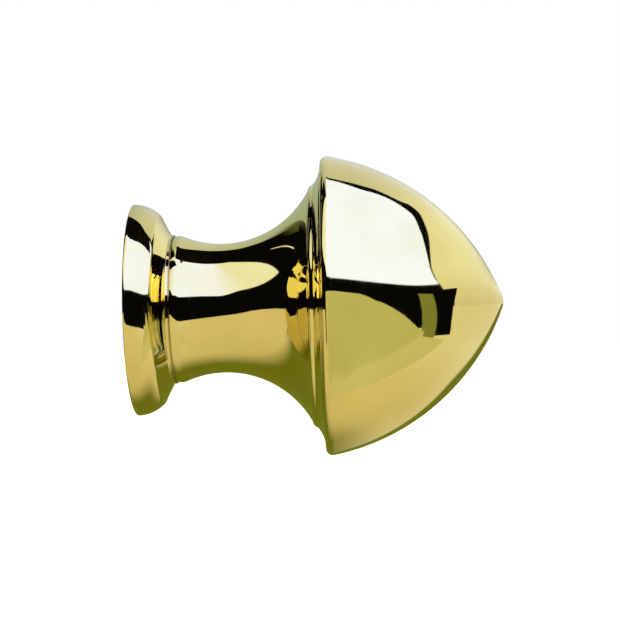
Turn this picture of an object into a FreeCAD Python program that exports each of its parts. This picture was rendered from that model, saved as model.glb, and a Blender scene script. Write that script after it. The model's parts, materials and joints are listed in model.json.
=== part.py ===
"""Curtain pole finial: an acorn head on a waisted neck, turned in one piece from solid brass.

The frame is the one it has on its pole. X runs along the pole and out through the tip, Z is up,
and the origin is the middle of the socket's mouth. All lengths are in millimetres. The pole slides
into the blind socket, and a grub screw in the back of the flange bites on it.
"""

import FreeCAD
import Part
import Sketcher
import math
import os

DRIVING_SIZES = [
    # The pole, and the socket that takes it
    ("pole_diameter", 19.0),
    ("socket_clearance", 0.2),
    ("socket_depth", 25.0),
    ("socket_point_angle", 118.0),
    ("mouth_chamfer", 0.4),
    # The flange: an ovolo from the rim, then a hollow down to a narrow fillet
    ("rim_diameter", 39.0),
    ("rim_edge_radius", 0.35),
    ("ovolo_width", 4.9),
    ("ovolo_drop", 2.1),
    ("hollow_width", 1.9),
    ("hollow_radius", 28.0),
    ("fillet_width", 0.6),
    ("fillet_step", 0.35),
    # The neck: a small bead beside the fillet, then one long cove from there to the flare
    ("bead_radius", 2.4),
    ("bead_lead", 0.8),
    ("neck_wall", 2.2),
    ("waist_offset", 8.85),
    ("cove_radius", 18.3),
    # The astragal at the top of the flare, and the cavetto from it to the head
    ("astragal_width", 0.95),
    ("astragal_height", 1.15),
    ("astragal_radius", 1.3),
    ("cavetto_width", 2.6),
    ("cavetto_height", 5.1),
    ("cavetto_radius", 6.0),
    # The head: a rounded edge, and a dome that runs to a blunt point
    ("head_diameter", 55.0),
    ("head_edge_radius", 1.2),
    ("dome_height", 32.0),
    ("dome_radius", 41.85),
    ("tip_radius", 2.4),
    # The grub screw, and the hole that it is tapped into
    ("screw_station", 3.1),
    ("screw_diameter", 4.0),
    ("screw_length", 5.0),
    ("screw_chamfer", 0.4),
    ("screw_setback", 0.25),
    ("thread_clearance", 0.05),
    ("key_across_flats", 2.0),
    ("key_depth", 2.5),
]

SOCKET_RADIUS = "(Sizes.pole_diameter / 2 + Sizes.socket_clearance)"
SCREW_HOLE_DIAMETER = "Sizes.screw_diameter + 2 * Sizes.thread_clearance"

# What a sketch calls the ends and the centre of an edge, and its own origin and horizontal axis
START = 1
END = 2
CENTRE = 3
ORIGIN = (-1, START)
AXIS = -1
RIM_PLANE = -2

FULL_TURN = 360.0
CORNERS = 6
PLACE_TOLERANCE = 1e-4


def make_sheet(doc):
    """Puts the driving sizes in a spreadsheet, one named value to a row."""
    sheet = doc.addObject("Spreadsheet::Sheet", "Sizes")
    for row, (name, value) in enumerate(DRIVING_SIZES, start=1):
        sheet.set(f"A{row}", name)
        sheet.set(f"B{row}", str(value))
        sheet.setAlias(f"B{row}", name)
    doc.recompute()


def make_body(doc, name):
    """A sub-part of its own, labelled with the name of its file."""
    body = doc.addObject("PartDesign::Body", name)
    body.Label = name
    return body


def make_sketch(body, name, role):
    """A sketch on one of the body's own origin planes."""
    sketch = body.newObject("Sketcher::SketchObject", name)
    plane = next(f for f in body.Origin.OriginFeatures if f.Role == role)
    sketch.AttachmentSupport = (plane, [""])
    sketch.MapMode = "FlatFace"
    return sketch


def add_size(sketch, kind, formula, *where):
    """Dimensions a sketch with a formula of the driving sizes."""
    value = float(sketch.evalExpression(formula))
    index = sketch.addConstraint(Sketcher.Constraint(kind, *where, value))
    sketch.setExpression(f"Constraints[{index}]", formula)


def add_feature(body, kind, name, sketch, **bound):
    """Adds a feature made from a sketch, with its sizes bound to the formulas given."""
    feature = body.newObject(kind, name)
    feature.Profile = sketch
    for size, formula in bound.items():
        feature.setExpression(size, formula)
    return feature


def check_cut(feature):
    """Stops the build if a cut took nothing away."""
    feature.Document.recompute()
    if feature.Shape.Volume >= feature.BaseFeature.Shape.Volume:
        raise RuntimeError(f"{feature.Name} cuts nothing")


def circle_edges(shape, centre, radius):
    """The names of the edges that are the circle of that radius about that centre."""
    found = []
    for number, edge in enumerate(shape.Edges, start=1):
        if edge.Degenerated or not isinstance(edge.Curve, Part.Circle):
            continue
        near = edge.Curve.Center.distanceToPoint(centre) < PLACE_TOLERANCE
        if near and abs(edge.Curve.Radius - radius) < PLACE_TOLERANCE:
            found.append(f"Edge{number}")
    return found


def meeting_point(one, two, from_one, from_two, above):
    """The point at those distances from two others, on the chosen side of the line between them."""
    gap = math.dist(one, two)
    along = (gap**2 + from_one**2 - from_two**2) / (2 * gap)
    across = math.sqrt(from_one**2 - along**2)
    side = 1 if above else -1
    unit = ((two[0] - one[0]) / gap, (two[1] - one[1]) / gap)
    x = one[0] + along * unit[0] - side * across * unit[1]
    y = one[1] + along * unit[1] + side * across * unit[0]
    return x, y


def toward(start, target, distance):
    """The point at that distance from start, on the way to target and beyond."""
    share = distance / math.dist(start, target)
    return tuple(a + share * (b - a) for a, b in zip(start, target))


class Outline:
    """A chain of lines and arcs in a sketch, each starting where the one before it ended."""

    def __init__(self, sketch):
        self.sketch = sketch
        self.point = (0.0, 0.0)
        self.last = ORIGIN

    def line_to(self, x, y):
        start = FreeCAD.Vector(*self.point, 0)
        end = FreeCAD.Vector(x, y, 0)
        edge = self.sketch.addGeometry(Part.LineSegment(start, end), False)
        return self._join(edge, START, END, (x, y), "Coincident")

    def arc_to(self, point, centre, crowned, smooth=False):
        """Adds an arc about centre, which bulges away from the axis if it is crowned."""
        circle = Part.Circle()
        circle.Center = FreeCAD.Vector(*centre, 0)
        circle.Radius = math.dist(centre, point)
        first, second = (self._angle(centre, p) for p in (self.point, point))
        tail, head = START, END
        if crowned:
            first, second = second, first
            tail, head = END, START
        edge = self.sketch.addGeometry(Part.ArcOfCircle(circle, first, second), False)
        return self._join(edge, tail, head, point, "Tangent" if smooth else "Coincident")

    def close(self):
        """Runs a line back along the axis to the origin."""
        edge = self.line_to(0, 0)
        self.fix("Coincident", edge, END, *ORIGIN)
        return edge

    def fix(self, kind, *where):
        self.sketch.addConstraint(Sketcher.Constraint(kind, *where))

    def size(self, kind, formula, *where):
        add_size(self.sketch, kind, formula, *where)

    def _join(self, edge, tail, head, point, kind):
        self.fix(kind, edge, tail, *self.last)
        self.last = (edge, head)
        self.point = point
        return edge

    @staticmethod
    def _angle(centre, point):
        return math.atan2(point[1] - centre[1], point[0] - centre[0])


def draw_profile(body, size):
    """Half the finial's outside, from the rim round to the tip and back along the axis."""
    rim = (0.0, size["rim_diameter"] / 2)
    ovolo_end = (size["ovolo_width"], rim[1] - size["ovolo_drop"])
    ovolo_radius = (size["ovolo_width"] ** 2 + size["ovolo_drop"] ** 2) / (2 * size["ovolo_drop"])
    hollow_x = ovolo_end[0] + size["hollow_width"]
    quirk_x = hollow_x + size["fillet_width"]
    waist = size["pole_diameter"] / 2 + size["socket_clearance"] + size["neck_wall"]
    cove_centre = (quirk_x + size["waist_offset"], waist + size["cove_radius"])
    reach = size["waist_offset"] - size["bead_lead"]
    apart = size["cove_radius"] + size["bead_radius"]
    bead_centre = (quirk_x + size["bead_lead"], cove_centre[1] - math.sqrt(apart**2 - reach**2))
    quirk = (quirk_x, bead_centre[1] + math.sqrt(size["bead_radius"] ** 2 - size["bead_lead"] ** 2))
    hollow_end = (hollow_x, quirk[1] + size["fillet_step"])
    hollowness = size["hollow_radius"]
    hollow_centre = meeting_point(ovolo_end, hollow_end, hollowness, hollowness, True)
    lip_top = size["head_diameter"] / 2
    flare_top = lip_top - size["cavetto_height"] - size["astragal_height"]
    flare_run = math.sqrt(size["cove_radius"] ** 2 - (cove_centre[1] - flare_top) ** 2)
    flare_end = (cove_centre[0] + flare_run, flare_top)
    astragal_end = (flare_end[0] + size["astragal_width"], flare_top + size["astragal_height"])
    bulge = size["astragal_radius"]
    astragal_centre = meeting_point(flare_end, astragal_end, bulge, bulge, False)
    edge_radius = size["head_edge_radius"]
    edge_centre = (astragal_end[0] + size["cavetto_width"], lip_top - edge_radius)
    sweep = size["cavetto_radius"]
    cavetto_centre = meeting_point(astragal_end, edge_centre, sweep, sweep + edge_radius, True)
    tip = (edge_centre[0] + size["dome_height"], 0.0)
    tip_centre = (tip[0] - size["tip_radius"], 0.0)
    from_edge = size["dome_radius"] - edge_radius
    from_tip = size["dome_radius"] - size["tip_radius"]
    dome_centre = meeting_point(edge_centre, tip_centre, from_edge, from_tip, False)

    outline = Outline(make_sketch(body, "Profile", "XZ_Plane"))
    face = outline.line_to(*rim)
    ovolo = outline.arc_to(ovolo_end, (0.0, rim[1] - ovolo_radius), crowned=True)
    hollow = outline.arc_to(hollow_end, hollow_centre, crowned=False)
    fillet = outline.line_to(quirk_x, hollow_end[1])
    step = outline.line_to(*quirk)
    bead_end = toward(bead_centre, cove_centre, size["bead_radius"])
    bead = outline.arc_to(bead_end, bead_centre, crowned=True)
    cove = outline.arc_to(flare_end, cove_centre, crowned=False, smooth=True)
    astragal = outline.arc_to(astragal_end, astragal_centre, crowned=True)
    lip = toward(edge_centre, cavetto_centre, edge_radius)
    cavetto = outline.arc_to(lip, cavetto_centre, crowned=False)
    dome_start = toward(dome_centre, edge_centre, size["dome_radius"])
    edge = outline.arc_to(dome_start, edge_centre, crowned=True, smooth=True)
    dome_end = toward(dome_centre, tip_centre, size["dome_radius"])
    dome = outline.arc_to(dome_end, dome_centre, crowned=True, smooth=True)
    point = outline.arc_to(tip, tip_centre, crowned=True, smooth=True)
    axis = outline.close()

    outline.fix("Vertical", face)
    outline.size("DistanceY", "Sizes.rim_diameter / 2", *ORIGIN, face, END)
    outline.fix("PointOnObject", ovolo, CENTRE, RIM_PLANE)
    outline.size("DistanceX", "Sizes.ovolo_width", ovolo, END, ovolo, START)
    outline.size("DistanceY", "Sizes.ovolo_drop", ovolo, START, ovolo, END)
    outline.size("DistanceX", "Sizes.hollow_width", hollow, START, hollow, END)
    outline.size("Radius", "Sizes.hollow_radius", hollow)
    outline.fix("Horizontal", fillet)
    outline.size("DistanceX", "Sizes.fillet_width", fillet, START, fillet, END)
    outline.fix("Vertical", step)
    outline.size("DistanceY", "Sizes.fillet_step", step, END, step, START)
    outline.size("Radius", "Sizes.bead_radius", bead)
    outline.size("DistanceX", "Sizes.bead_lead", bead, END, bead, CENTRE)
    outline.size("DistanceX", "Sizes.waist_offset", bead, END, cove, CENTRE)
    outline.size("Radius", "Sizes.cove_radius", cove)
    cove_height = f"{SOCKET_RADIUS} + Sizes.neck_wall + Sizes.cove_radius"
    outline.size("DistanceY", cove_height, *ORIGIN, cove, CENTRE)
    outline.size("DistanceX", "Sizes.astragal_width", astragal, END, astragal, START)
    outline.size("DistanceY", "Sizes.astragal_height", astragal, END, astragal, START)
    outline.size("Radius", "Sizes.astragal_radius", astragal)
    outline.size("Radius", "Sizes.cavetto_radius", cavetto)
    outline.size("DistanceX", "Sizes.cavetto_width", cavetto, START, edge, CENTRE)
    lip_height = "Sizes.cavetto_height - Sizes.head_edge_radius"
    outline.size("DistanceY", lip_height, cavetto, START, edge, CENTRE)
    outline.size("Radius", "Sizes.head_edge_radius", edge)
    crown_height = "Sizes.head_diameter / 2 - Sizes.head_edge_radius"
    outline.size("DistanceY", crown_height, *ORIGIN, edge, CENTRE)
    outline.size("Radius", "Sizes.dome_radius", dome)
    outline.size("Radius", "Sizes.tip_radius", point)
    outline.fix("PointOnObject", point, CENTRE, AXIS)
    outline.size("DistanceX", "Sizes.dome_height", edge, CENTRE, axis, START)
    outline.fix("Horizontal", axis)
    return outline.sketch


def bore_socket(body):
    """Drills the blind socket for the pole, with a chamfered mouth and the drill's own point."""
    sketch = make_sketch(body, "SocketMouth", "YZ_Plane")
    circle = sketch.addGeometry(Part.Circle(), False)
    sketch.addConstraint(Sketcher.Constraint("Coincident", circle, CENTRE, *ORIGIN))
    add_size(sketch, "Radius", SOCKET_RADIUS, circle)
    body.Document.recompute()
    socket = add_feature(body, "PartDesign::Hole", "Socket", sketch)
    socket.DepthType = "Dimension"
    socket.DrillPoint = "Angled"
    socket.HoleCutType = "Countersink"
    socket.Reversed = True
    socket.setExpression("Diameter", f"2 * {SOCKET_RADIUS}")
    socket.setExpression("Depth", "Sizes.socket_depth")
    socket.setExpression("DrillPointAngle", "Sizes.socket_point_angle")
    socket.setExpression("HoleCutDiameter", f"2 * ({SOCKET_RADIUS} + Sizes.mouth_chamfer)")
    check_cut(socket)


def drill_screw_hole(body):
    """Drills from the socket out through the back of the flange for the grub screw."""
    sketch = make_sketch(body, "ScrewCircle", "XZ_Plane")
    circle = sketch.addGeometry(Part.Circle(), False)
    sketch.addConstraint(Sketcher.Constraint("PointOnObject", circle, CENTRE, AXIS))
    add_size(sketch, "DistanceX", "Sizes.screw_station", *ORIGIN, circle, CENTRE)
    add_size(sketch, "Diameter", SCREW_HOLE_DIAMETER, circle)
    hole = add_feature(body, "PartDesign::Pocket", "ScrewHole", sketch)
    hole.Type = "ThroughAll"
    check_cut(hole)


def turn_finial(doc, size):
    """Turns the finial from one bar, drills its socket and taps its flange."""
    body = make_body(doc, "finial_body")
    profile = draw_profile(body, size)
    turning = add_feature(body, "PartDesign::Revolution", "Turning", profile)
    turning.ReferenceAxis = (profile, ["H_Axis"])
    turning.Angle = FULL_TURN
    doc.recompute()
    rim_edge = body.newObject("PartDesign::Fillet", "RimEdge")
    edges = circle_edges(turning.Shape, FreeCAD.Vector(), size["rim_diameter"] / 2)
    rim_edge.Base = (turning, edges)
    rim_edge.setExpression("Radius", "Sizes.rim_edge_radius")
    doc.recompute()
    bore_socket(body)
    drill_screw_hole(body)
    return body


def draw_hexagon(sketch):
    """A hexagon about the origin with two sides level, sized across its flats."""
    ring = sketch.addGeometry(Part.Circle(), True)
    sketch.addConstraint(Sketcher.Constraint("Coincident", ring, CENTRE, *ORIGIN))
    add_size(sketch, "Radius", "Sizes.key_across_flats / sqrt(3)", ring)
    turns = [math.tau * corner / CORNERS for corner in range(CORNERS + 1)]
    corners = [FreeCAD.Vector(math.cos(turn), math.sin(turn), 0) for turn in turns]
    sides = []
    for start, end in zip(corners, corners[1:]):
        sides.append(sketch.addGeometry(Part.LineSegment(start, end), False))
    for side, following in zip(sides, sides[1:] + sides[:1]):
        sketch.addConstraint(Sketcher.Constraint("Coincident", side, END, following, START))
        sketch.addConstraint(Sketcher.Constraint("PointOnObject", side, START, ring))
    for side in sides[1:]:
        sketch.addConstraint(Sketcher.Constraint("Equal", sides[0], side))
    sketch.addConstraint(Sketcher.Constraint("Horizontal", sides[1]))


def make_grub_screw(doc, size):
    """The set screw, backed off clear of the pole. It lies along Y with its key socket outward."""
    body = make_body(doc, "grub_screw")
    sketch = make_sketch(body, "Shank", "XY_Plane")
    circle = sketch.addGeometry(Part.Circle(), False)
    sketch.addConstraint(Sketcher.Constraint("Coincident", circle, CENTRE, *ORIGIN))
    add_size(sketch, "Diameter", "Sizes.screw_diameter", circle)
    shank = add_feature(body, "PartDesign::Pad", "ShankLength", sketch, Length="Sizes.screw_length")
    shank.Reversed = True
    doc.recompute()
    ends = (FreeCAD.Vector(), FreeCAD.Vector(0, 0, -size["screw_length"]))
    radius = size["screw_diameter"] / 2
    edges = [name for end in ends for name in circle_edges(shank.Shape, end, radius)]
    chamfer = body.newObject("PartDesign::Chamfer", "EndChamfers")
    chamfer.Base = (shank, edges)
    chamfer.setExpression("Size", "Sizes.screw_chamfer")
    doc.recompute()
    hexagon = make_sketch(body, "KeyShape", "XY_Plane")
    draw_hexagon(hexagon)
    key = add_feature(body, "PartDesign::Pocket", "KeySocket", hexagon, Length="Sizes.key_depth")
    check_cut(key)
    outward = FreeCAD.Rotation(FreeCAD.Vector(0, 0, 1), FreeCAD.Vector(0, 1, 0))
    body.Placement = FreeCAD.Placement(FreeCAD.Vector(), outward)
    head_height = f"{SOCKET_RADIUS} + Sizes.screw_setback + Sizes.screw_length"
    body.setExpression("Placement.Base.x", "Sizes.screw_station")
    body.setExpression("Placement.Base.y", head_height)
    return body


def check_model(doc, bodies):
    """Stops the build unless every object is sound and every sketch is fully dimensioned."""
    for item in doc.Objects:
        if "Invalid" in item.State or "Error" in item.State:
            raise RuntimeError(f"{item.Name} failed: {item.State}")
        if item.isDerivedFrom("Sketcher::SketchObject") and not item.FullyConstrained:
            raise RuntimeError(f"{item.Name} isn't fully dimensioned")
    for body in bodies:
        shape = body.Shape
        if shape.isNull() or not shape.isValid() or len(shape.Solids) != 1:
            raise RuntimeError(f"{body.Label} isn't one sound solid")


def main():
    doc = FreeCAD.newDocument("CurtainPoleFinial")
    size = dict(DRIVING_SIZES)
    make_sheet(doc)
    bodies = [turn_finial(doc, size), make_grub_screw(doc, size)]
    doc.recompute()
    check_model(doc, bodies)
    os.makedirs("parts", exist_ok=True)
    for body in bodies:
        body.Shape.exportStep(os.path.join("parts", f"{body.Label}.step"))
        print(f"{body.Label}: {body.Shape.Volume:.1f} cubic mm")


main()
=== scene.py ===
"""Curtain pole finial of polished brass: its finish, its threaded set screw, and a small studio round it."""

import json
import math

import bpy
import numpy as np
from mathutils import Matrix, Vector


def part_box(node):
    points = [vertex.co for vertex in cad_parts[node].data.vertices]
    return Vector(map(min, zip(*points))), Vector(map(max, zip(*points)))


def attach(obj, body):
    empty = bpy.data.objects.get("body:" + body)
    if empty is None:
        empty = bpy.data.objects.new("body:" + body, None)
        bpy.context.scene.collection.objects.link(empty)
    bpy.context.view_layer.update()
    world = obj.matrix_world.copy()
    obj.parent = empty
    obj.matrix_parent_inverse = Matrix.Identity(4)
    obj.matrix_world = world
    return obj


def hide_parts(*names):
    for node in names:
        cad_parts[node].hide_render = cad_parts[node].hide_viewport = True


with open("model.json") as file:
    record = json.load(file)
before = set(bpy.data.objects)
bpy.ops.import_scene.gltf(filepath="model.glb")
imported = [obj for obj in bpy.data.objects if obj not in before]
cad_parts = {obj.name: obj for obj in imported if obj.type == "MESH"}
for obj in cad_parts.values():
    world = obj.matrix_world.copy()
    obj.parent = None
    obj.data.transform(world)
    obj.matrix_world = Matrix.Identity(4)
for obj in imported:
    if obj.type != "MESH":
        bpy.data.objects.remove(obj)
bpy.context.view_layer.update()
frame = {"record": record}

MM = 0.001

# Profile of the turned body, in millimetres, from the rim (x = 0) to the tip
RIM_RADIUS = 19.5
RIM_EDGE_RADIUS = 0.35
OVOLO_WIDTH = 4.9
OVOLO_DROP = 2.1
HOLLOW_WIDTH = 1.9
HOLLOW_RADIUS = 28.0
FILLET_WIDTH = 0.6
FILLET_STEP = 0.35
BEAD_RADIUS = 2.4
BEAD_LEAD = 0.8
WAIST_RADIUS = 11.9
WAIST_OFFSET = 8.85
COVE_RADIUS = 18.3
ASTRAGAL_WIDTH = 0.95
ASTRAGAL_HEIGHT = 1.15
ASTRAGAL_RADIUS = 1.3
CAVETTO_WIDTH = 2.6
CAVETTO_HEIGHT = 5.1
CAVETTO_RADIUS = 6.0
HEAD_RADIUS = 27.5
HEAD_EDGE_RADIUS = 1.2
DOME_HEIGHT = 32.0
DOME_RADIUS = 41.85
TIP_RADIUS = 2.4
MOUTH_CHAMFER = 0.4
SOCKET_DEPTH = 25.0
DRILL_POINT = math.radians(118.0)

# Where the hollow ends and the fillet begins, and the quirk between the fillet and the bead
HOLLOW_X = OVOLO_WIDTH + HOLLOW_WIDTH
QUIRK_X = HOLLOW_X + FILLET_WIDTH

# How far the polishing wheel has eased each corner
SOFT_ARRIS = 0.16
SOFT_QUIRK = 0.10
SOFT_BORE = 0.06

# Thread of the M4 set screw and of its hole
THREAD_PITCH = 0.7
THREAD_DEPTH = 0.38
THREAD_CLEARANCE = 0.05
FLANK_STEEPNESS = 2.2
FLANK_START = 0.55
TAP_OVERRUN = 1.0

# Ends of the set screw, and the hexagon socket for its key
SCREW_CHAMFER = 0.4
SCREW_END_INSET = 0.02
SCREW_SHARP_ANGLE = math.radians(28.0)
KEY_ACROSS_FLATS = 2.0
KEY_DEPTH = 2.5
KEY_LEAD = 0.05
KEY_LEAD_WIDENING = 1.06
KEY_DRILL_POINT = 0.35

# Mesh density, the smallest size that counts, and the radius within which a surface counts as on the axis
PROFILE_STEP = 0.33
STRAIGHT_STEP = 4.0
FILLET_TOP_STEP = 0.15
FILLET_SIDE_STEP = 0.1
EASING = (0.2, 0.4, 0.6, 0.8)
EASING_MARGIN = 1.2
BODY_COLUMNS = 256
SCREW_COLUMNS = 72
ROWS_PER_PITCH = 12
TINY = 1e-6
AXIS_RADIUS = 0.01


# Outline of the body, drawn as arcs that meet

def meeting_point(one, two, one_radius, two_radius, above):
    """Where two circles meet, above or below the line between their centres."""
    gap = math.dist(one, two)
    along = (gap**2 + one_radius**2 - two_radius**2) / (2 * gap)
    across = math.sqrt(one_radius**2 - along**2) * (1 if above else -1)
    step = ((two[0] - one[0]) / gap, (two[1] - one[1]) / gap)
    return (one[0] + along * step[0] - across * step[1], one[1] + along * step[1] + across * step[0])


def toward(start, end, distance):
    """The point that lies a distance from start, on the line to end."""
    share = distance / math.dist(start, end)
    return (start[0] + share * (end[0] - start[0]), start[1] + share * (end[1] - start[1]))


def arc(start, end, centre):
    """Points from start to end round a centre."""
    radius = math.dist(start, centre)
    first = math.atan2(start[1] - centre[1], start[0] - centre[0])
    turn = math.remainder(math.atan2(end[1] - centre[1], end[0] - centre[0]) - first, math.tau)
    count = max(6, round(abs(turn) * radius / PROFILE_STEP))
    angles = [first + turn * i / count for i in range(count + 1)]
    return [(centre[0] + radius * math.cos(t), centre[1] + radius * math.sin(t)) for t in angles]


def line(start, end, step=STRAIGHT_STEP):
    """Points from start to end on a straight line."""
    count = max(2, round(math.dist(start, end) / step))
    return [toward(start, end, math.dist(start, end) * i / count) for i in range(count)] + [end]


def socket_profile(bore):
    """Runs of points from the drill point out of the socket, and over the flat face of the rim."""
    cone = bore / math.tan(DRILL_POINT / 2)
    apex = (SOCKET_DEPTH + cone, 0.0)
    shoulder = (SOCKET_DEPTH, bore)
    lip = (MOUTH_CHAMFER, bore)
    mouth = (0.0, bore + MOUTH_CHAMFER)
    edge = (0.0, RIM_RADIUS - RIM_EDGE_RADIUS)
    return [line(apex, shoulder), line(shoulder, lip), line(lip, mouth), line(mouth, edge)]


def outer_profile():
    """Runs of points over the outside from the rim to the tip, each with the softening of its far corner."""
    rim = (0.0, RIM_RADIUS)
    ovolo_end = (OVOLO_WIDTH, RIM_RADIUS - OVOLO_DROP)
    ovolo_radius = (OVOLO_WIDTH**2 + OVOLO_DROP**2) / (2 * OVOLO_DROP)
    cove = (QUIRK_X + WAIST_OFFSET, WAIST_RADIUS + COVE_RADIUS)
    reach = WAIST_OFFSET - BEAD_LEAD
    apart = COVE_RADIUS + BEAD_RADIUS
    bead = (QUIRK_X + BEAD_LEAD, cove[1] - math.sqrt(apart**2 - reach**2))
    quirk = (QUIRK_X, bead[1] + math.sqrt(BEAD_RADIUS**2 - BEAD_LEAD**2))
    hollow_end = (HOLLOW_X, quirk[1] + FILLET_STEP)
    fillet_end = (QUIRK_X, hollow_end[1])
    hollow = meeting_point(ovolo_end, hollow_end, HOLLOW_RADIUS, HOLLOW_RADIUS, True)
    flare_radius = HEAD_RADIUS - CAVETTO_HEIGHT - ASTRAGAL_HEIGHT
    flare = (cove[0] + math.sqrt(COVE_RADIUS**2 - (cove[1] - flare_radius) ** 2), flare_radius)
    bead_end = toward(bead, cove, BEAD_RADIUS)
    ledge = (flare[0] + ASTRAGAL_WIDTH, flare_radius + ASTRAGAL_HEIGHT)
    astragal = meeting_point(flare, ledge, ASTRAGAL_RADIUS, ASTRAGAL_RADIUS, False)
    edge = (ledge[0] + CAVETTO_WIDTH, HEAD_RADIUS - HEAD_EDGE_RADIUS)
    cavetto = meeting_point(ledge, edge, CAVETTO_RADIUS, CAVETTO_RADIUS + HEAD_EDGE_RADIUS, True)
    tip = (edge[0] + DOME_HEIGHT, 0.0)
    tip_centre = (tip[0] - TIP_RADIUS, 0.0)
    dome = meeting_point(edge, tip_centre, DOME_RADIUS - HEAD_EDGE_RADIUS, DOME_RADIUS - TIP_RADIUS, False)
    lip = toward(edge, cavetto, HEAD_EDGE_RADIUS)
    dome_start = toward(dome, edge, DOME_RADIUS)
    dome_end = toward(dome, tip_centre, DOME_RADIUS)
    return [
        (arc(rim, ovolo_end, (0.0, RIM_RADIUS - ovolo_radius)), SOFT_ARRIS),
        (arc(ovolo_end, hollow_end, hollow), SOFT_QUIRK),
        (line(hollow_end, fillet_end, FILLET_TOP_STEP), SOFT_QUIRK),
        (line(fillet_end, quirk, FILLET_SIDE_STEP), SOFT_QUIRK),
        (arc(quirk, bead_end, bead), 0),
        (arc(bead_end, flare, cove), SOFT_QUIRK),
        (arc(flare, ledge, astragal), SOFT_QUIRK),
        (arc(ledge, lip, cavetto), 0),
        (arc(lip, dome_start, edge), 0),
        (arc(dome_start, dome_end, dome), 0),
        (arc(dome_end, tip, tip_centre), 0),
    ]


def trimmed(points, reach):
    """A run of points that stops a reach before its last one."""
    corner = points[-1]
    kept = [p for p in points if math.dist(p, corner) > reach * EASING_MARGIN]
    return kept + [toward(corner, kept[-1], reach)]


def joined(runs):
    """One chain of points from runs, with each corner eased by a small curve tangent to both runs."""
    chain = list(runs[0][0])
    for (_, reach), (points, _) in zip(runs, runs[1:]):
        following = list(points)
        if reach:
            corner = chain[-1]
            chain = trimmed(chain, reach)
            following = trimmed(following[::-1], reach)[::-1]
            a, b = chain[-1], following[0]
            for t in EASING:
                weights = ((1 - t) ** 2, 2 * t * (1 - t), t**2)
                chain.append(tuple(sum(w * p[i] for w, p in zip(weights, (a, corner, b))) for i in (0, 1)))
            chain.append(b)
        chain += following[1:]
    return np.array(chain)


def chain_normals(chain):
    """Unit normals of the chain, from the parabola through each point and its neighbours."""
    before = chain[1:-1] - chain[:-2]
    after = chain[2:] - chain[1:-1]
    la = np.linalg.norm(before, axis=1)[:, None]
    lb = np.linalg.norm(after, axis=1)[:, None]
    middle = (before * lb / la + after * la / lb) / (la + lb)
    tangents = np.vstack([[0.0, 1.0], middle, [0.0, -1.0]])
    tangents /= np.linalg.norm(tangents, axis=1)[:, None]
    return np.column_stack([-tangents[:, 1], tangents[:, 0]])


# Meshes skinned over rings of points

def skin(name, rings, materials, ring_material=None):
    """A closed mesh over rings of equally many points: the first and last ring may be a single point."""
    points = np.vstack(rings)
    starts = np.cumsum([0] + [len(r) for r in rings])
    columns = max(len(r) for r in rings)
    faces = []
    indices = []
    for k, (one, two) in enumerate(zip(rings, rings[1:])):
        a, b = starts[k], starts[k + 1]
        for j in range(columns):
            n = (j + 1) % columns
            if len(one) == 1:
                faces.append((a, b + n, b + j))
            elif len(two) == 1:
                faces.append((a + j, a + n, b))
            else:
                faces.append((a + j, a + n, b + n, b + j))
            indices.append(ring_material[k] if ring_material else 0)
    mesh = bpy.data.meshes.new(name)
    mesh.from_pydata((points * MM).tolist(), [], faces)
    for material in materials:
        mesh.materials.append(material)
    mesh.polygons.foreach_set("material_index", indices)
    mesh.polygons.foreach_set("use_smooth", [True] * len(faces))
    mesh.update()
    piece = bpy.data.objects.new(name, mesh)
    bpy.context.scene.collection.objects.link(piece)
    return piece


def thread_rise(along, angle):
    """How far a thread rises above its root, from 0 to its depth: flat crests and roots, flanks between."""
    phase = (along / THREAD_PITCH - angle / (2 * math.pi)) % 1.0
    tooth = 1 - 2 * np.abs(phase - 0.5)
    return THREAD_DEPTH * np.clip(FLANK_STEEPNESS * tooth - FLANK_START, 0, 1)


def threaded_rings(start, end, crest, centre, chamfer=None):
    """Rings of a thread along +Y, which a chamfer, if there is one, cuts down at each end."""
    rows = round((end - start) / THREAD_PITCH * ROWS_PER_PITCH)
    angles = np.linspace(0, 2 * math.pi, SCREW_COLUMNS, endpoint=False)
    rings = []
    for along in np.linspace(start, end, rows + 1):
        radius = crest - THREAD_DEPTH + thread_rise(along, angles)
        if chamfer:
            radius = np.minimum(radius, crest - chamfer + min(along - start, end - along))
        rings.append(around_y(along, radius, angles, centre))
    return rings


def around_y(along, radius, angles, centre):
    """A ring about an axis that runs along +Y through a station on X."""
    across = centre - radius * np.cos(angles)
    return np.column_stack([across, np.full(len(angles), along), radius * np.sin(angles)])


# Shader nodes

def new_material(name):
    """A material with an empty Principled shader: returns the material, its tree and the shader."""
    material = bpy.data.materials.new(name)
    material.use_nodes = True
    tree = material.node_tree
    return material, tree, tree.nodes["Principled BSDF"]


def add(tree, kind, *inputs, **settings):
    """Adds a node and returns its first output. Inputs are values or sockets in order, None left alone."""
    node = tree.nodes.new("ShaderNode" + kind)
    for key, value in settings.items():
        setattr(node, key, value)
    for socket, value in zip(node.inputs, inputs):
        if isinstance(value, bpy.types.NodeSocket):
            tree.links.new(value, socket)
        elif value is not None:
            socket.default_value = value
    return node.outputs[0]


def calc(tree, operation, *inputs):
    """Arithmetic."""
    return add(tree, "Math", *inputs, operation=operation)


def ramp(tree, value, low, high, start=0.0, end=1.0):
    """Smooth step of a value between low and high."""
    return add(tree, "MapRange", value, low, high, start, end, interpolation_type="SMOOTHSTEP")


def mixed(tree, factor, one, two):
    """Colour mix."""
    node = tree.nodes.new("ShaderNodeMix")
    node.data_type = "RGBA"
    for socket, value in ((node.inputs[0], factor), (node.inputs[6], one), (node.inputs[7], two)):
        if isinstance(value, bpy.types.NodeSocket):
            tree.links.new(value, socket)
        else:
            socket.default_value = value
    return node.outputs[2]


def noise(tree, vector, scale, detail=2.0):
    """Noise from 0 to 1, with about scale lumps a metre."""
    return add(tree, "TexNoise", vector, None, scale, detail)


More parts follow.
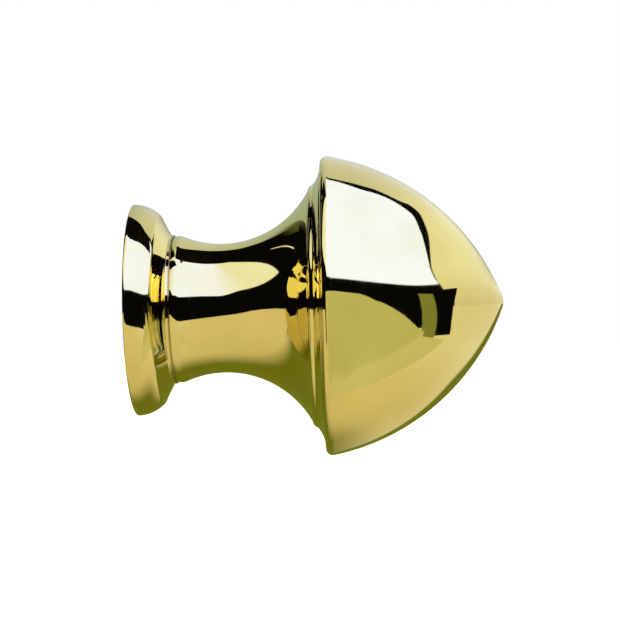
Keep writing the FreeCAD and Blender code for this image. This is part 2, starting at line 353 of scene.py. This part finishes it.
def turning_coordinates(tree):
    """Of a turned piece: position, x along the axis, radius, and cosine and sine of the angle round it."""
    position = tree.nodes.new("ShaderNodeTexCoord").outputs["Object"]
    split = tree.nodes.new("ShaderNodeSeparateXYZ")
    tree.links.new(position, split.inputs[0])
    x, y, z = split.outputs
    squared = calc(tree, "ADD", calc(tree, "MULTIPLY", y, y), calc(tree, "MULTIPLY", z, z))
    radius = calc(tree, "SQRT", calc(tree, "MAXIMUM", squared, (AXIS_RADIUS * MM) ** 2))
    return position, x, radius, calc(tree, "DIVIDE", y, radius), calc(tree, "DIVIDE", z, radius)


def polish_marks(tree, x, radius, cosine, sine, fineness, slant=0.6, lumps_round=1.4):
    """Hairlines that run round the axis: noise that is long round the piece and short across it."""
    across = calc(tree, "MULTIPLY", calc(tree, "ADD", x, calc(tree, "MULTIPLY", radius, slant)), fineness)
    around = (calc(tree, "MULTIPLY", part, lumps_round) for part in (cosine, sine))
    return noise(tree, add(tree, "CombineXYZ", across, *around), 1.0, 3.0)


def bump(tree, height, distance, normal=None):
    """The normal that a height makes, on top of another normal if there is one."""
    node = tree.nodes.new("ShaderNodeBump")
    node.inputs["Distance"].default_value = distance
    tree.links.new(height, node.inputs["Height"])
    if normal is not None:
        tree.links.new(normal, node.inputs["Normal"])
    return node.outputs[0]


def near(tree, value, place, width):
    """1 at a place and 0 a width away."""
    gap = calc(tree, "ABSOLUTE", calc(tree, "SUBTRACT", value, place))
    return ramp(tree, gap, 0.0, width, 1.0, 0.0)


BRASS = (0.78, 0.67, 0.26, 1)
BRASS_DEEP = (0.74, 0.62, 0.22, 1)
QUIRK_BROWN = (0.30, 0.20, 0.07, 1)
STEEL = (0.50, 0.50, 0.51, 1)
STEEL_DARK = (0.33, 0.33, 0.34, 1)


def polished_brass():
    """Mirror-polished brass: faint hairlines round the axis, a wheel's waviness, and a darker brown colour in
    the quirk.
    """
    material, tree, shader = new_material("polished_brass")
    position, x, radius, cosine, sine = turning_coordinates(tree)
    cloud = noise(tree, position, 90.0, 3.0)
    colour = mixed(tree, ramp(tree, cloud, 0.35, 0.7), BRASS, BRASS_DEEP)
    # A darker brown colour in the quirk, fading out a fillet's step to either side.
    quirk = near(tree, x, QUIRK_X * MM, FILLET_STEP * MM)
    colour = mixed(tree, calc(tree, "MULTIPLY", quirk, 0.75), colour, QUIRK_BROWN)
    hairlines = polish_marks(tree, x, radius, cosine, sine, 2600.0)
    smudges = ramp(tree, noise(tree, position, 260.0, 4.0), 0.5, 0.75)
    fine = ramp(tree, hairlines, 0.3, 0.8, 0.025, 0.06)
    roughness = calc(tree, "ADD", fine, calc(tree, "MULTIPLY", smudges, 0.02))
    waves = noise(tree, position, 150.0, 1.0)
    normal = bump(tree, waves, 0.006 * MM)
    normal = bump(tree, hairlines, 0.00012 * MM, normal)
    tree.links.new(colour, shader.inputs["Base Color"])
    tree.links.new(roughness, shader.inputs["Roughness"])
    tree.links.new(normal, shader.inputs["Normal"])
    shader.inputs["Metallic"].default_value = 1.0
    return material


def turned_brass(name, pitch, height, low, high, by_radius):
    """Brass as the lathe left it: tool marks of a pitch and height, and roughness from low to high."""
    material, tree, shader = new_material(name)
    position, x, radius, cosine, sine = turning_coordinates(tree)
    place = radius if by_radius else x
    wobble = calc(tree, "MULTIPLY", noise(tree, position, 400.0, 2.0), pitch * MM * 0.8)
    phase = calc(tree, "DIVIDE", calc(tree, "ADD", place, wobble), pitch * MM)
    marks = calc(tree, "PINGPONG", phase, 0.5)
    streaks = polish_marks(tree, x, radius, cosine, sine, 5200.0)
    colour = mixed(tree, ramp(tree, streaks, 0.3, 0.8), BRASS, BRASS_DEEP)
    roughness = ramp(tree, streaks, 0.25, 0.8, low, high)
    normal = bump(tree, marks, height * MM)
    normal = bump(tree, streaks, 0.002 * MM, normal)
    tree.links.new(colour, shader.inputs["Base Color"])
    tree.links.new(roughness, shader.inputs["Roughness"])
    tree.links.new(normal, shader.inputs["Normal"])
    shader.inputs["Metallic"].default_value = 1.0
    return material


def screw_steel():
    """Plain machined steel, a little oiled: grey with fine grain, darker in places."""
    material, tree, shader = new_material("screw_steel")
    position = tree.nodes.new("ShaderNodeTexCoord").outputs["Object"]
    grain = noise(tree, position, 2400.0, 4.0)
    colour = mixed(tree, ramp(tree, grain, 0.35, 0.7), STEEL, STEEL_DARK)
    roughness = ramp(tree, grain, 0.3, 0.75, 0.22, 0.42)
    tree.links.new(colour, shader.inputs["Base Color"])
    tree.links.new(roughness, shader.inputs["Roughness"])
    tree.links.new(bump(tree, grain, 0.004 * MM), shader.inputs["Normal"])
    shader.inputs["Metallic"].default_value = 1.0
    return material


# The finial

OUTSIDE, BORED, FACED, TAPPED = range(4)


def finish_of(start, end, bore):
    """The finish of a stretch of the outline: flat face of the rim, socket, or outside."""
    if max(start[0], end[0]) < TINY:
        return FACED
    if start[0] < SOCKET_DEPTH + bore and max(start[1], end[1]) <= bore + MOUTH_CHAMFER + TINY:
        return BORED
    return OUTSIDE


def finial_body(screw_x, hole_radius):
    """The turned body with its socket, and the tapped hole for the set screw in the back of the flange."""
    bore = frame["record"]["mounts"][0]["dims"]["r_mm"]
    inside = socket_profile(bore)
    face_end = inside[-1][-1]
    rim_edge = arc(face_end, (RIM_EDGE_RADIUS, RIM_RADIUS), (RIM_EDGE_RADIUS, RIM_RADIUS - RIM_EDGE_RADIUS))
    runs = [(points, SOFT_BORE) for points in inside[:-1]] + [(inside[-1], 0), (rim_edge, 0)]
    outside = outer_profile()
    first = [p for p in outside[0][0] if p[0] > RIM_EDGE_RADIUS]
    outside[0] = ([rim_edge[-1]] + first, outside[0][1])
    chain = joined(runs + outside)
    normals = chain_normals(chain)
    angles = np.linspace(0, 2 * math.pi, BODY_COLUMNS, endpoint=False)
    rings = []
    for x, r in chain:
        if r < TINY:
            rings.append(np.array([[x, 0.0, 0.0]]))
        else:
            rings.append(np.column_stack([np.full(BODY_COLUMNS, x), r * np.cos(angles), r * np.sin(angles)]))
    finishes = [finish_of(start, end, bore) for start, end in zip(chain, chain[1:])]
    materials = [
        polished_brass(),
        turned_brass("bored_brass", pitch=0.12, height=0.006, low=0.14, high=0.26, by_radius=False),
        turned_brass("faced_brass", pitch=0.16, height=0.004, low=0.12, high=0.22, by_radius=True),
        turned_brass("tapped_brass", pitch=0.2, height=0.001, low=0.2, high=0.3, by_radius=False),
    ]
    piece = skin("finial", rings, materials, finishes)
    cut_hole(piece, screw_x, hole_radius, bore)
    shade(piece, chain, normals)
    return piece


def cut_hole(piece, screw_x, hole_radius, bore):
    """Cuts the tapped hole, from inside the socket out through the back of the flange."""
    centre = [np.array([[screw_x, bore / 2, 0.0]])]
    outer_end = RIM_RADIUS + TAP_OVERRUN
    rings = threaded_rings(bore / 2, outer_end, hole_radius, screw_x)
    tool = skin("tap", centre + rings + [np.array([[screw_x, outer_end, 0.0]])], [])
    tool.data.polygons.foreach_set("material_index", [TAPPED] * len(tool.data.polygons))
    cut = piece.modifiers.new("tapped hole", "BOOLEAN")
    cut.operation = "DIFFERENCE"
    cut.solver = "EXACT"
    cut.object = tool
    depsgraph = bpy.context.evaluated_depsgraph_get()
    result = bpy.data.meshes.new_from_object(piece.evaluated_get(depsgraph))
    piece.modifiers.clear()
    piece.data = result
    bpy.data.objects.remove(tool)


def shade(piece, chain, normals, batch=4000):
    """True normals on the turned faces, from the outline, and a sharp edge where the hole breaks out."""
    mesh = piece.data
    points = np.empty(len(mesh.vertices) * 3)
    mesh.vertices.foreach_get("co", points)
    points = points.reshape(-1, 3) / MM
    radius = np.hypot(points[:, 1], points[:, 2])
    place = np.column_stack([points[:, 0], radius])
    flat = np.empty_like(place)
    for start in range(0, len(place), batch):
        part = place[start:start + batch]
        gap = ((part[:, None, :] - chain[None, :, :]) ** 2).sum(2)
        flat[start:start + batch] = normals[gap.argmin(1)]
    safe = np.maximum(radius, TINY)
    full = np.column_stack([flat[:, 0], flat[:, 1] * points[:, 1] / safe, flat[:, 1] * points[:, 2] / safe])
    corners = np.empty(len(mesh.loops), dtype=np.int64)
    mesh.loops.foreach_get("vertex_index", corners)
    kinds = np.empty(len(mesh.polygons), dtype=np.int64)
    mesh.polygons.foreach_get("material_index", kinds)
    sizes = np.empty(len(mesh.polygons), dtype=np.int64)
    mesh.polygons.foreach_get("loop_total", sizes)
    of_thread = np.repeat(kinds == TAPPED, sizes)
    custom = full[corners]
    custom[of_thread] = 0.0
    mesh.polygons.foreach_set("use_smooth", [True] * len(mesh.polygons))
    mesh.normals_split_custom_set(custom.tolist())


def set_screw(screw_x, low, high, crest):
    """The M4 socket set screw: threaded, chamfered at both ends, with a hexagon socket in its outer end."""
    angles = np.linspace(0, 2 * math.pi, SCREW_COLUMNS, endpoint=False)
    flat_angle = (angles % (math.pi / 3)) - math.pi / 6
    hexagon = KEY_ACROSS_FLATS / 2 / np.cos(flat_angle)
    end = np.full(SCREW_COLUMNS, crest - SCREW_CHAMFER - SCREW_END_INSET)
    rings = [np.array([[screw_x, low, 0.0]]), around_y(low, end, angles, screw_x)]
    rings += threaded_rings(low, high, crest, screw_x, SCREW_CHAMFER)
    rings.append(around_y(high, hexagon * KEY_LEAD_WIDENING, angles, screw_x))
    rings.append(around_y(high - KEY_LEAD, hexagon, angles, screw_x))
    rings.append(around_y(high - KEY_DEPTH, hexagon, angles, screw_x))
    rings.append(np.array([[screw_x, high - KEY_DEPTH - KEY_DRILL_POINT, 0.0]]))
    piece = skin("set_screw", rings, [screw_steel()])
    piece.data.set_sharp_from_angle(angle=SCREW_SHARP_ANGLE)
    return piece


screw_low, screw_high = (np.array(c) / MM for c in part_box("grub_screw"))
screw_x = (screw_low[0] + screw_high[0]) / 2
screw_radius = (screw_high[0] - screw_low[0]) / 2
finial = finial_body(screw_x, screw_radius + THREAD_CLEARANCE)
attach(finial, "root")
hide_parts("finial_body")
screw = set_screw(screw_x, screw_low[1], screw_high[1], screw_radius)
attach(screw, "root")
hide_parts("grub_screw")


# Camera, from where the finial's rim and axis lie in the photograph

SENSOR_WIDTH = 36.0
PHOTO_SIZE = 620
FOCAL_PIXELS = 1600.0
MM_PER_PIXEL = 0.18519
RIM_CENTRE_PIXEL = (136.6, 310.24)
YAW = math.radians(1.36)
ROLL = math.radians(1.30)


def make_camera():
    """Looks along +Y, turned and rolled a little, as far off as the photograph's perspective says."""
    data = bpy.data.cameras.new("camera")
    data.sensor_width = SENSOR_WIDTH
    data.lens = SENSOR_WIDTH * FOCAL_PIXELS / PHOTO_SIZE
    camera = bpy.data.objects.new("camera", data)
    bpy.context.scene.collection.objects.link(camera)
    upright = Matrix.Rotation(math.pi / 2, 4, "X")
    turn = Matrix.Rotation(YAW, 4, "Z") @ upright @ Matrix.Rotation(-ROLL, 4, "Z")
    across = RIM_CENTRE_PIXEL[0] - PHOTO_SIZE / 2
    up = PHOTO_SIZE / 2 - RIM_CENTRE_PIXEL[1]
    rim = Vector((across, up, -FOCAL_PIXELS)) * MM_PER_PIXEL * MM
    camera.matrix_world = Matrix.Translation(-(turn.to_3x3() @ rim)) @ turn
    bpy.context.scene.camera = camera


make_camera()


# Studio, in millimetres: a paper floor, a world that is a lit room, and cards that only the metal sees.
# Polished metal shows little but its room, so each card stands where some part of the finial looks at it.

FLOOR_Z = -85.0
FLOOR_REACH = 3000
UNDER_SHADE_REACH = 1500
UNDER_SHADE_FRONT = -20
CARD_GAP = 1
FLOOR_FRONT = [
    (-1500, -1200), (-590, -742), (-167, -447), (0, -345),
    (100, -275), (190, -215), (250, -145), (357, -88),
]

# The ceiling panel, and the dark gap between it and the softbox
CEILING_Z = 100.0
GAP_FRONT = [
    (36, 15), (56, 16), (74, 16), (85, 22), (98, 28), (118, 31),
    (128, 28), (148, 12), (198, -16), (274, -42), (345, -55), (420, -62),
]
GAP_BACK = [
    (420, -58), (345, -50), (274, -37), (202, -7), (148, 32), (128, 51), (119, 53),
    (112, 51), (105, 42), (96, 37), (83, 32), (73, 26), (56, 21), (36, 21),
]
PANEL_FAR = [
    (900, -58), (900, 900), (-500, 900), (-500, 520), (-300, 350),
    (-80, 159), (-40, 123), (-23, 103), (-22, 60), (-25, 23),
]

# The shades over the neck and the flange, which make the dark bands above their bright patches
NECK_SHADE_Z = 16.0
NECK_SHADE = [
    (8.6, -8), (8.6, -5), (11, -4.8), (13, -3), (15, -2.1), (17, -1.7), (20, -1.9), (22.5, -3),
    (25, -5), (27, -7), (28.5, -9.5), (26, -8.9), (24, -6.5), (21.5, -6.4), (19.5, -7.2), (18.5, -10),
    (18.1, -9.9), (17.9, -8.95), (16.9, -8.46), (15.6, -9.27), (14.6, -9.82), (13.6, -10.05),
    (11.5, -10.3), (10, -10.6), (8.6, -10.2),
]
FLANGE_SHADE_Z = 17.0
FLANGE_SHADE = [
    (-8, -9.15), (0.25, -9.75), (0.81, -9.95), (1.48, -10.15), (2.89, -10.49), (4.55, -10.97),
    (6.63, -11.38), (8.4, -11.61), (11.45, -13.7), (9.73, -14.27), (7.43, -14.78), (5.32, -15.14),
    (3.37, -15.53), (1.54, -15.35), (0.08, -14.37), (-8, -13.47),
]
FLANGE_SHADE_TIP_Z = 30.0
FLANGE_SHADE_TIP = [
    (18.3, -5), (21.5, -5.6), (26.8, -7.3), (31.7, -9.4), (26.2, -11.9), (21.6, -13.7), (19.6, -11.5),
]

# The gold card in front of the finial: places on the floor, each with the height of the card's top
FRONT_CARD = [
    (30, -34, 3.6), (43, -41, 5.2), (61, -53, 6.4), (74, -61.5, 5.7),
    (87, -70, 4.0), (96, -70, 1.5), (105, -70, -2.0), (123, -70, -10.2),
    (141, -70, -19.5), (163, -70, -31.2), (193, -70, -47.0), (249, -70, -72.0),
]
FRONT_SKIRT = [
    (36, -46), (66, -44), (94, -40), (123, -37), (156, -28),
    (186, -19), (249, -3), (249, -70), (87, -70), (61, -53),
]
FRONT_FIN = [(31, -31.5, -10), (31, -36, -10), (31, -36, 6), (31, -31.5, 6)]

# The dark bar and the olive pillar past the tip, as places back and up
SIDE_X = 250.0
DARK_BAR = [(-66, 30), (8, 34), (-4, 11), (-9, -4), (-10, -20), (-7, -43), (4, -72), (-50, -80)]
PILLAR = [(-97, 26), (-60, 23), (-37, -85), (-76, -85)]

# Places in the world, in degrees: azimuth 0 is toward the camera, and 90 past the tip
SOFTBOX_LEFT = -88
SOFTBOX_RIGHT = 83
SOFTBOX_HIGH = 23
LOW_EDGE_LEFT = 28.0
LOW_EDGE_FRONT = 21.5
LOW_EDGE_RIGHT = 12.0
PALE_RIGHT = 95
PALE_HIGH = 12
BEHIND_RIGHT = (140, 172)
BEHIND_LEFT = (-136, -160)
SLIT_AZIMUTH = -118.7
SLIT_ELEVATION = 30
SLIT_HALF_HEIGHT = 14

# Plain colours, and how much the paper glows to the camera
CAMERA_LIFT = 0.6
DARK = (0.003, 0.003, 0.003, 1)
WHITE = (1.0, 1.0, 1.0, 1)
OLIVE = (0.26, 0.30, 0.09, 1)
DARK_OLIVE = (0.10, 0.13, 0.03, 1)
UNDER_SHADE = (0.18, 0.21, 0.02, 1)
SLIT = (1.6, 1.6, 1.6, 1)
WARM_PAPER = (0.72, 0.64, 0.44, 1)
COOL_PAPER = (0.80, 0.77, 0.70, 1)

# The ceiling panel from its left end past the head to the far right, and far behind
PANEL_LEFT = (0.43, 0.55, 0.42, 1)
PANEL_HEAD = (0.78, 0.82, 0.90, 1)
PANEL_RIGHT = (1.05, 1.09, 1.08, 1)
PANEL_FAR_RIGHT = (0.90, 0.88, 0.82, 1)
PANEL_BEHIND = (0.45, 0.46, 0.38, 1)

# The gold card at its foot, above it and at its near end
GOLD_FOOT = (0.75, 0.73, 0.46, 1)
GOLD_ABOVE = (0.64, 0.65, 0.36, 1)
GOLD_END = (0.80, 0.70, 0.45, 1)

# The pale part of the room from the horizon up, and the room behind
PALE_LOW = (0.86, 0.82, 0.74, 1)
PALE_MIDDLE = (0.97, 0.98, 0.92, 1)
PALE_TOP = (1.10, 1.14, 1.10, 1)
BEHIND_LOW = (0.42, 0.43, 0.30, 1)
BEHIND_TOP = (0.72, 0.76, 0.72, 1)

# The softbox as the metal sees it, at once and after two and three mirrorings, and as it lights the paper
SOFTBOX = (1.22, 1.45, 3.4, 1)
SOFTBOX_DIM = (1.12, 1.22, 1.5, 1)
SECOND_BOUNCE = (1.45, 1.5, 1.35, 1)
THIRD_BOUNCE = (3.2, 3.3, 5.0, 1)
SOFTBOX_PLAIN = (1.7, 1.7, 1.66, 1)

# The floor and the gold card's foot after three mirrorings
DEEP_FLOOR = (0.3, 0.6, 2.0, 1)
DEEP_GOLD = (0.9, 1.25, 3.3, 1)


def flat_piece(name, corners, material):
    """A flat polygon that belongs to the studio."""
    mesh = bpy.data.meshes.new(name)
    mesh.from_pydata([[c * MM for c in corner] for corner in corners], [], [tuple(range(len(corners)))])
    mesh.materials.append(material)
    piece = bpy.data.objects.new(name, mesh)
    bpy.context.scene.collection.objects.link(piece)
    return piece


def card(name, corners, material):
    """A card that shows only in the metal: it hides nothing from the camera and casts no shadow."""
    piece = flat_piece(name, corners, material)
    piece.visible_camera = False
    piece.visible_diffuse = False
    piece.visible_shadow = False
    piece.visible_transmission = False


def level(height, *points):
    """Corners at one height."""
    return [(x, y, height) for x, y in points]


def smooth_run(points, steps=5):
    """A Catmull-Rom curve through a run of points."""
    ends = [points[0], *points, points[-1]]
    run = []
    for a, b, c, d in zip(ends, ends[1:], ends[2:], ends[3:]):
        for t in (i / steps for i in range(steps)):
            weights = (-t + 2 * t**2 - t**3, 2 - 5 * t**2 + 3 * t**3, t + 4 * t**2 - 3 * t**3, t**3 - t**2)
            run.append(tuple(sum(w * p[i] for w, p in zip(weights, (a, b, c, d))) / 2 for i in (0, 1)))
    return run + [points[-1]]


def place_of(tree):
    """Sockets for X, Y and Z of the point that is seen, in millimetres."""
    split = tree.nodes.new("ShaderNodeSeparateXYZ")
    tree.links.new(tree.nodes.new("ShaderNodeTexCoord").outputs["Object"], split.inputs[0])
    return [calc(tree, "DIVIDE", part, MM) for part in split.outputs]


def bounced(tree, times):
    """One where the metal has mirrored the light at least that many times."""
    depth = tree.nodes.new("ShaderNodeLightPath").outputs["Glossy Depth"]
    return ramp(tree, depth, times - 0.6, times - 0.4)


def glow(name, colour=WHITE):
    """A material that only glows: returns the material, its tree and the emission node."""
    material = bpy.data.materials.new(name)
    material.use_nodes = True
    tree = material.node_tree
    tree.nodes.remove(tree.nodes["Principled BSDF"])
    emission = tree.nodes.new("ShaderNodeEmission")
    emission.inputs["Color"].default_value = colour
    tree.links.new(emission.outputs[0], tree.nodes["Material Output"].inputs["Surface"])
    return material, tree, emission


def panel_glow():
    """Pale, cooler and brighter toward the tip, and dimmer far behind, where the finial's outline looks."""
    material, tree, emission = glow("panel")
    x, y, _ = place_of(tree)
    colour = mixed(tree, ramp(tree, x, -60, 55), PANEL_LEFT, PANEL_HEAD)
    colour = mixed(tree, ramp(tree, x, 60, 150), colour, PANEL_RIGHT)
    colour = mixed(tree, ramp(tree, x, 150, 900), colour, PANEL_FAR_RIGHT)
    far_behind = calc(tree, "MULTIPLY", ramp(tree, y, 150, 600), ramp(tree, x, 450, 200))
    colour = mixed(tree, far_behind, colour, PANEL_BEHIND)
    tree.links.new(mixed(tree, bounced(tree, 2), colour, DARK), emission.inputs["Color"])
    return material


def gold_glow():
    """Warm at the foot and greener above. Deep in the finial's grooves, bright at the foot and dark above."""
    material, tree, emission = glow("gold_card")
    x, _, z = place_of(tree)
    height = calc(tree, "ADD", z, ramp(tree, x, 45, 75, -35.0, 0.0))
    colour = mixed(tree, ramp(tree, height, FLOOR_Z, -62), GOLD_FOOT, GOLD_ABOVE)
    colour = mixed(tree, ramp(tree, x, 30, 37), GOLD_END, colour)
    deep = mixed(tree, ramp(tree, z, -25, -15), DEEP_GOLD, DARK)
    tree.links.new(mixed(tree, bounced(tree, 3), colour, deep), emission.inputs["Color"])
    return material


def neck_shade_glow():
    """Dark, and a little olive toward the head."""
    material, tree, emission = glow("neck_dark")
    toward_head = ramp(tree, place_of(tree)[0], 24, 28)
    tree.links.new(mixed(tree, toward_head, DARK, DARK_OLIVE), emission.inputs["Color"])
    return material


def under_shade_glow():
    """Olive and see-through by turns: solid under the neck, in a corner behind it, and far behind."""
    material, tree, emission = glow("under_shade", UNDER_SHADE)
    x, y, _ = place_of(tree)
    slant = calc(tree, "SUBTRACT", y, calc(tree, "MULTIPLY", x, 1.3))
    under_neck = calc(tree, "MULTIPLY", ramp(tree, x, 80, 30), ramp(tree, y, -20, 35))
    corner = calc(tree, "MULTIPLY", ramp(tree, y, 90, 120), ramp(tree, x, 0, 40))
    corner = calc(tree, "MULTIPLY", corner, ramp(tree, slant, -100, -50))
    far_behind = calc(tree, "MAXIMUM", ramp(tree, slant, 150, 400), corner)
    blend = tree.nodes.new("ShaderNodeMixShader")
    tree.links.new(calc(tree, "MAXIMUM", under_neck, far_behind), blend.inputs[0])
    tree.links.new(tree.nodes.new("ShaderNodeBsdfTransparent").outputs[0], blend.inputs[1])
    tree.links.new(emission.outputs[0], blend.inputs[2])
    tree.links.new(blend.outputs[0], tree.nodes["Material Output"].inputs["Surface"])
    return material


def floor_paper():
    """Plain warm paper. The camera sees it as white apart from the finial's soft shadow."""
    material, tree, shader = new_material("floor_paper")
    toward_tip = ramp(tree, place_of(tree)[0], 60, 240)
    tree.links.new(mixed(tree, toward_tip, WARM_PAPER, COOL_PAPER), shader.inputs["Base Color"])
    shader.inputs["Roughness"].default_value = 0.9
    shader.inputs["Specular IOR Level"].default_value = 0.0
    camera_ray = tree.nodes.new("ShaderNodeLightPath").outputs["Is Camera Ray"]
    lift = calc(tree, "MULTIPLY", camera_ray, CAMERA_LIFT)
    deep = bounced(tree, 3)
    tree.links.new(mixed(tree, deep, WHITE, DEEP_FLOOR), shader.inputs["Emission Color"])
    tree.links.new(calc(tree, "MAXIMUM", lift, deep), shader.inputs["Emission Strength"])
    return material


def make_floor():
    """The floor, whose front edge shows in the metal, and the soft dark that the underside sees on it."""
    reach = FLOOR_REACH
    far = [(reach, FLOOR_FRONT[-1][1]), (reach, reach), (-reach, reach), (-reach, FLOOR_FRONT[0][1])]
    flat_piece("floor", level(FLOOR_Z, *FLOOR_FRONT, *far), floor_paper())
    reach = UNDER_SHADE_REACH
    shaded = [(-reach, UNDER_SHADE_FRONT), (reach, UNDER_SHADE_FRONT), (reach, reach), (-reach, reach)]
    card("under_shade", level(FLOOR_Z + 2 * CARD_GAP, *shaded), under_shade_glow())


def make_ceiling(dark):
    """The panel behind the softbox, and the gap between them."""
    gap_front = smooth_run(GAP_FRONT)
    gap_back = smooth_run(GAP_BACK)
    card("ceiling_gap", level(CEILING_Z, *gap_front, *gap_back), dark)
    card("ceiling_panel", level(CEILING_Z + CARD_GAP, *gap_back[::-1], *PANEL_FAR), panel_glow())


def make_shades(dark):
    """The small shades over the neck and the flange."""
    card("neck_shade", level(NECK_SHADE_Z, *NECK_SHADE), neck_shade_glow())
    card("flange_shade", level(FLANGE_SHADE_Z, *FLANGE_SHADE), dark)
    card("flange_shade_tip", level(FLANGE_SHADE_TIP_Z, *FLANGE_SHADE_TIP), dark)


def make_front(dark):
    """The gold card that stands in front of the head, its skirt on the floor and the fin at its end."""
    gold = gold_glow()
    for number, (a, b) in enumerate(zip(FRONT_CARD, FRONT_CARD[1:])):
        card(f"front_card_{number}", level(FLOOR_Z, a[:2], b[:2]) + [b, a], gold)
    card("front_card_skirt", level(FLOOR_Z + CARD_GAP, *FRONT_SKIRT), gold)
    card("front_fin", FRONT_FIN, dark)


def make_side(dark):
    """The dark bar past the tip, and the pillar before it."""
    card("dark_bar", [(SIDE_X, y, z) for y, z in DARK_BAR], dark)
    pillar = [(SIDE_X - CARD_GAP, y, z) for y, z in PILLAR]
    card("olive_pillar", pillar, glow("olive_card", OLIVE)[0])


def sky_angles(tree):
    """Azimuth and elevation of a direction, in degrees."""
    split = tree.nodes.new("ShaderNodeSeparateXYZ")
    tree.links.new(tree.nodes.new("ShaderNodeTexCoord").outputs["Generated"], split.inputs[0])
    x, y, z = split.outputs
    turn = calc(tree, "ARCTAN2", x, calc(tree, "MULTIPLY", y, -1.0))
    degree = math.pi / 180
    return calc(tree, "DIVIDE", turn, degree), calc(tree, "DIVIDE", calc(tree, "ARCSINE", z), degree)


def softbox_share(tree, azimuth, elevation):
    """One inside the softbox, whose low edge sinks toward the tip, and which is only high up past its end."""
    low_edge = ramp(tree, azimuth, -34, -4, LOW_EDGE_LEFT, LOW_EDGE_FRONT)
    sinking = ramp(tree, azimuth, 5, 75, 0.0, LOW_EDGE_RIGHT - LOW_EDGE_FRONT)
    low_edge = calc(tree, "ADD", low_edge, sinking)
    above = ramp(tree, calc(tree, "SUBTRACT", elevation, low_edge), -0.5, 0.5)
    share = calc(tree, "MULTIPLY", above, ramp(tree, azimuth, SOFTBOX_LEFT, SOFTBOX_LEFT + 2))
    before_end = ramp(tree, azimuth, SOFTBOX_RIGHT, SOFTBOX_RIGHT + 1, 1.0, 0.0)
    high = ramp(tree, elevation, SOFTBOX_HIGH, SOFTBOX_HIGH + 1)
    return calc(tree, "MULTIPLY", share, calc(tree, "MAXIMUM", before_end, high))


def softbox_light(tree, azimuth):
    """The softbox's light: dimmer to the left, and of other colours where the metal has mirrored it again."""
    seen = mixed(tree, ramp(tree, azimuth, -44, 8), SOFTBOX_DIM, SOFTBOX)
    seen = mixed(tree, bounced(tree, 2), seen, SECOND_BOUNCE)
    seen = mixed(tree, bounced(tree, 3), seen, THIRD_BOUNCE)
    glossy_ray = tree.nodes.new("ShaderNodeLightPath").outputs["Is Glossy Ray"]
    return mixed(tree, glossy_ray, SOFTBOX_PLAIN, seen)


def room_light(tree, azimuth, elevation):
    """The room outside the softbox: dark, pale past the tip and behind, with one bright slit to the left."""
    pale = mixed(tree, ramp(tree, elevation, -2, PALE_HIGH), PALE_LOW, PALE_MIDDLE)
    pale = mixed(tree, ramp(tree, elevation, PALE_HIGH, 40), pale, PALE_TOP)
    leaning = calc(tree, "ADD", azimuth, ramp(tree, elevation, 0, PALE_HIGH, 2.5, 0.0))
    low_part = ramp(tree, leaning, PALE_RIGHT, PALE_RIGHT + 1)
    past_softbox = ramp(tree, azimuth, SOFTBOX_RIGHT, SOFTBOX_RIGHT + 1)
    high_part = calc(tree, "MULTIPLY", past_softbox, ramp(tree, elevation, PALE_HIGH, PALE_HIGH + 1))
    colour = mixed(tree, calc(tree, "MAXIMUM", low_part, high_part), DARK, pale)
    behind = mixed(tree, ramp(tree, elevation, 5, 45), BEHIND_LOW, BEHIND_TOP)
    behind = mixed(tree, bounced(tree, 2), behind, DARK)
    colour = mixed(tree, ramp(tree, azimuth, *BEHIND_RIGHT), colour, behind)
    colour = mixed(tree, ramp(tree, azimuth, *BEHIND_LEFT), colour, behind)
    from_middle = calc(tree, "ABSOLUTE", calc(tree, "SUBTRACT", elevation, SLIT_ELEVATION))
    slit_height = ramp(tree, from_middle, SLIT_HALF_HEIGHT + 3, SLIT_HALF_HEIGHT)
    slit = calc(tree, "MULTIPLY", near(tree, azimuth, SLIT_AZIMUTH, 1.0), slit_height)
    return mixed(tree, slit, colour, SLIT)


def make_world():
    """White to the camera. To the metal and the floor, a room with a large softbox in front and above."""
    world = bpy.data.worlds.new("studio")
    bpy.context.scene.world = world
    world.use_nodes = True
    tree = world.node_tree
    azimuth, elevation = sky_angles(tree)
    room = room_light(tree, azimuth, elevation)
    colour = mixed(tree, softbox_share(tree, azimuth, elevation), room, softbox_light(tree, azimuth))
    camera_ray = tree.nodes.new("ShaderNodeLightPath").outputs["Is Camera Ray"]
    tree.links.new(mixed(tree, camera_ray, colour, WHITE), tree.nodes["Background"].inputs["Color"])


dark_card = glow("dark_card", DARK)[0]
make_floor()
make_ceiling(dark_card)
make_shades(dark_card)
make_front(dark_card)
make_side(dark_card)
make_world()
bpy.context.scene.view_settings.view_transform = "Standard"
